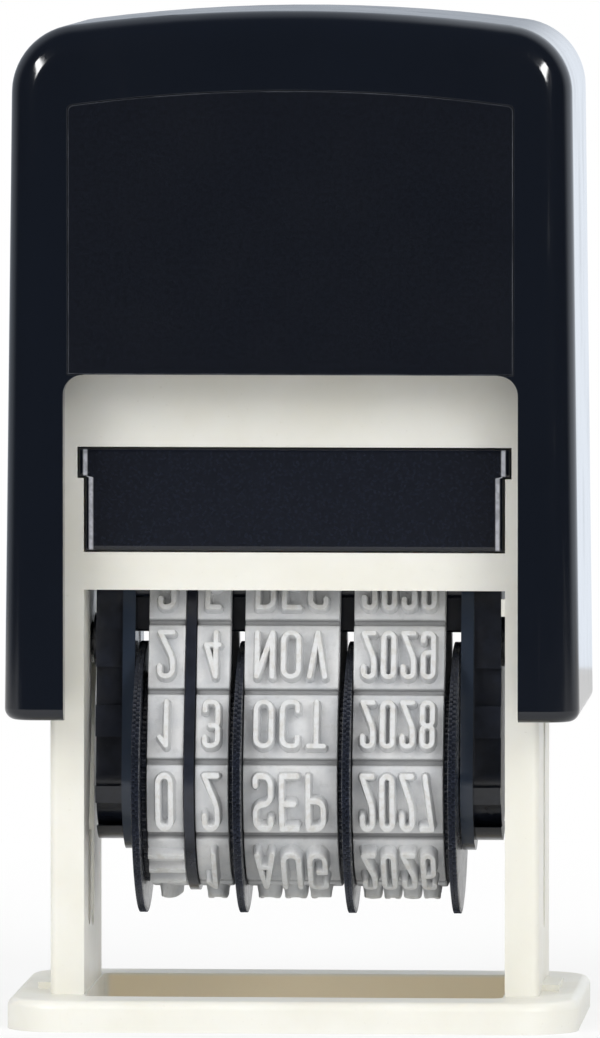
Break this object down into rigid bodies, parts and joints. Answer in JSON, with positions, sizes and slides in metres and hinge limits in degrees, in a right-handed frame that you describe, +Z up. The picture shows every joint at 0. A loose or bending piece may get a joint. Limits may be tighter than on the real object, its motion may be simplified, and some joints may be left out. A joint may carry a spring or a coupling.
{
  "type": "date stamp",
  "caption": "Small self inking date stamp: a sprung cap over a frame turns a carrier of date bands from its ink pad to the paper.",
  "frame": {"origin": "middle of the base's underside", "axes": "+Z up along the press, -Y the front with the panel, +X to the right seen from the front"},
  "size_m": [0.0402, 0.027, 0.0714],
  "materials": {
    "ivory_plastic": "satin moulded",
    "cap_black": "polished moulded",
    "panel_black": "fine satin",
    "cartridge_black": "fine spark texture",
    "carrier_black": "satin moulded",
    "wheel_black": "toothed rim",
    "band_rubber": "moulded rubber",
    "ink_felt": "inked felt",
    "pin_steel": "drawn rod",
    "spring_steel": "drawn wire"
  },
  "bodies": {
    "housing": {"frame": "ivory_plastic", "return_spring": "spring_steel"},
    "press_cap": {"cap_shell": "cap_black", "label_panel": "panel_black", "left_pivot_pin": "pin_steel", "right_pivot_pin": "pin_steel"},
    "ink_drawer": {"ink_cartridge": "cartridge_black", "ink_pad": "ink_felt"},
    "date_carrier": {"left_cheek": "carrier_black", "right_cheek": "carrier_black", "platen_bridge": "carrier_black", "band_divider": "carrier_black", "wheel_axle": "pin_steel", "tens_band": "band_rubber", "units_band": "band_rubber", "month_band": "band_rubber", "year_band": "band_rubber"},
    "tens_dial": {"tens_wheel": "wheel_black"},
    "units_dial": {"units_wheel": "wheel_black"},
    "month_dial": {"month_wheel": "wheel_black"},
    "year_dial": {"year_wheel": "wheel_black"}
  },
  "joints": [
    {"name": "press", "type": "slide", "parent": "housing", "child": "press_cap", "axis": [0, 0, -1], "range_m": [0, 0.019], "stiffness_N_per_m": 350, "springref_m": -0.012, "deforming": ["return_spring"]},
    {"name": "carrier_flip", "type": "hinge", "parent": "press_cap", "child": "date_carrier", "pos_m": [0, 0, 0.02675], "axis": [1, 0, 0], "range_deg": [0, 180]},
    {"name": "cartridge_slide", "type": "slide", "parent": "housing", "child": "ink_drawer", "axis": [0, 1, 0], "range_m": [-0.018, 0]},
    {"name": "tens_spin", "type": "hinge", "parent": "date_carrier", "child": "tens_dial", "pos_m": [0, 0, 0.017], "axis": [1, 0, 0], "continuous": true},
    {"name": "units_spin", "type": "hinge", "parent": "date_carrier", "child": "units_dial", "pos_m": [0, 0, 0.017], "axis": [1, 0, 0], "continuous": true},
    {"name": "month_spin", "type": "hinge", "parent": "date_carrier", "child": "month_dial", "pos_m": [0, 0, 0.017], "axis": [1, 0, 0], "continuous": true},
    {"name": "year_spin", "type": "hinge", "parent": "date_carrier", "child": "year_dial", "pos_m": [0, 0, 0.017], "axis": [1, 0, 0], "continuous": true}
  ],
  "couplings": [
    {"joint": "carrier_flip", "follows": "press", "rad_per_m": 165.3}
  ]
}
